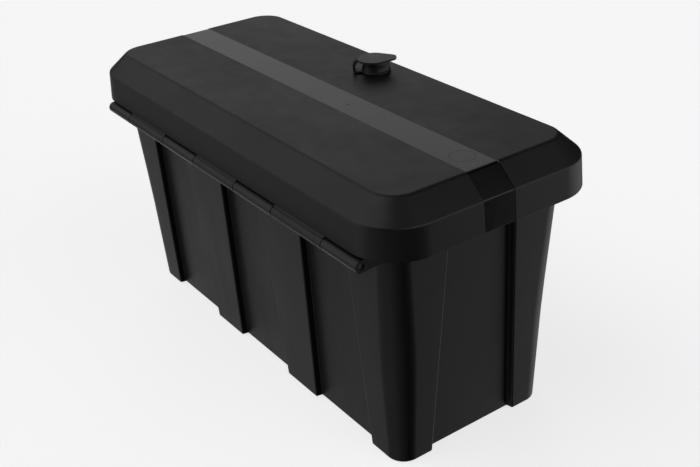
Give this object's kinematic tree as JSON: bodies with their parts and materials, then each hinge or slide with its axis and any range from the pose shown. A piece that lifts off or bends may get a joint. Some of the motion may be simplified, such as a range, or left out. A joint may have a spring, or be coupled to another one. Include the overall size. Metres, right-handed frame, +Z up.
{
  "type": "battery box",
  "caption": "Lidded box in black moulded plastic with tapered ribbed walls, a hinged chamfered lid, a capped cam lock, a hold-down strap inside and grommets for leads.",
  "frame": {"origin": "on the floor, at the middle of the box's flat underside below the middle of the lid", "axes": "+X along the box, towards the end with the lead grommets; +Y towards the hinge; +Z up"},
  "size_m": [0.55, 0.2536, 0.299],
  "materials": {
    "black_plastic": "black moulded polypropylene, fine matte texture",
    "lid_plastic": "black moulded polypropylene, fine texture with a smoother band along the middle",
    "black_rubber": "black rubber",
    "cap_rubber": "soft black moulded rubber, slight sheen",
    "webbing": "woven black polypropylene webbing",
    "zinc_steel": "bright zinc plate",
    "chrome": "chrome plate"
  },
  "bodies": {
    "body": {"box_body": "black_plastic", "hinge_pin": "zinc_steel", "rim_seal": "black_rubber", "keeper_plate": "zinc_steel", "keeper_rivet_left": "zinc_steel", "keeper_rivet_right": "zinc_steel", "floor_mat": "black_rubber", "hold_down_strap": "webbing", "buckle_frame": "zinc_steel", "buckle_pin": "zinc_steel", "strap_anchor_front": "zinc_steel", "strap_anchor_rear": "zinc_steel", "anchor_screw_front_left": "zinc_steel", "anchor_screw_front_right": "zinc_steel", "anchor_screw_rear_left": "zinc_steel", "anchor_screw_rear_right": "zinc_steel", "lead_grommet_front": "black_rubber", "lead_grommet_rear": "black_rubber"},
    "lid": {"lid_shell": "lid_plastic", "lock_housing": "zinc_steel", "lock_washer": "zinc_steel", "lock_nut": "zinc_steel", "cap_collar": "cap_rubber"},
    "lock_barrel": {"lock_core": "chrome", "lock_cam": "zinc_steel", "cam_screw": "zinc_steel"},
    "dust_cap": {"dust_cap": "cap_rubber"},
    "buckle_lever": {"buckle_lever": "zinc_steel"},
    "drain_plug": {"drain_plug": "black_rubber"}
  },
  "joints": [
    {"name": "lid_hinge", "type": "hinge", "parent": "body", "child": "lid", "pos_m": [0, 0.1236, 0.2285], "axis": [-1, 0, 0], "range_deg": [0, 200]},
    {"name": "lock_turn", "type": "hinge", "parent": "lid", "child": "lock_barrel", "pos_m": [-0.005, -0.0713, 0.2845], "axis": [0, 0, -1], "range_deg": [0, 90]},
    {"name": "dust_cap_hinge", "type": "hinge", "parent": "lid", "child": "dust_cap", "pos_m": [0.0048, -0.05561, 0.299], "axis": [-0.848, 0.5299, 0], "range_deg": [0, 110]},
    {"name": "buckle_lever_hinge", "type": "hinge", "parent": "body", "child": "buckle_lever", "pos_m": [0, -0.0026, 0.018], "axis": [1, 0, 0], "range_deg": [0, 95]},
    {"name": "drain_plug_pull", "type": "slide", "parent": "body", "child": "drain_plug", "axis": [0, 0, 1], "range_m": [0, 0.012]}
  ]
}
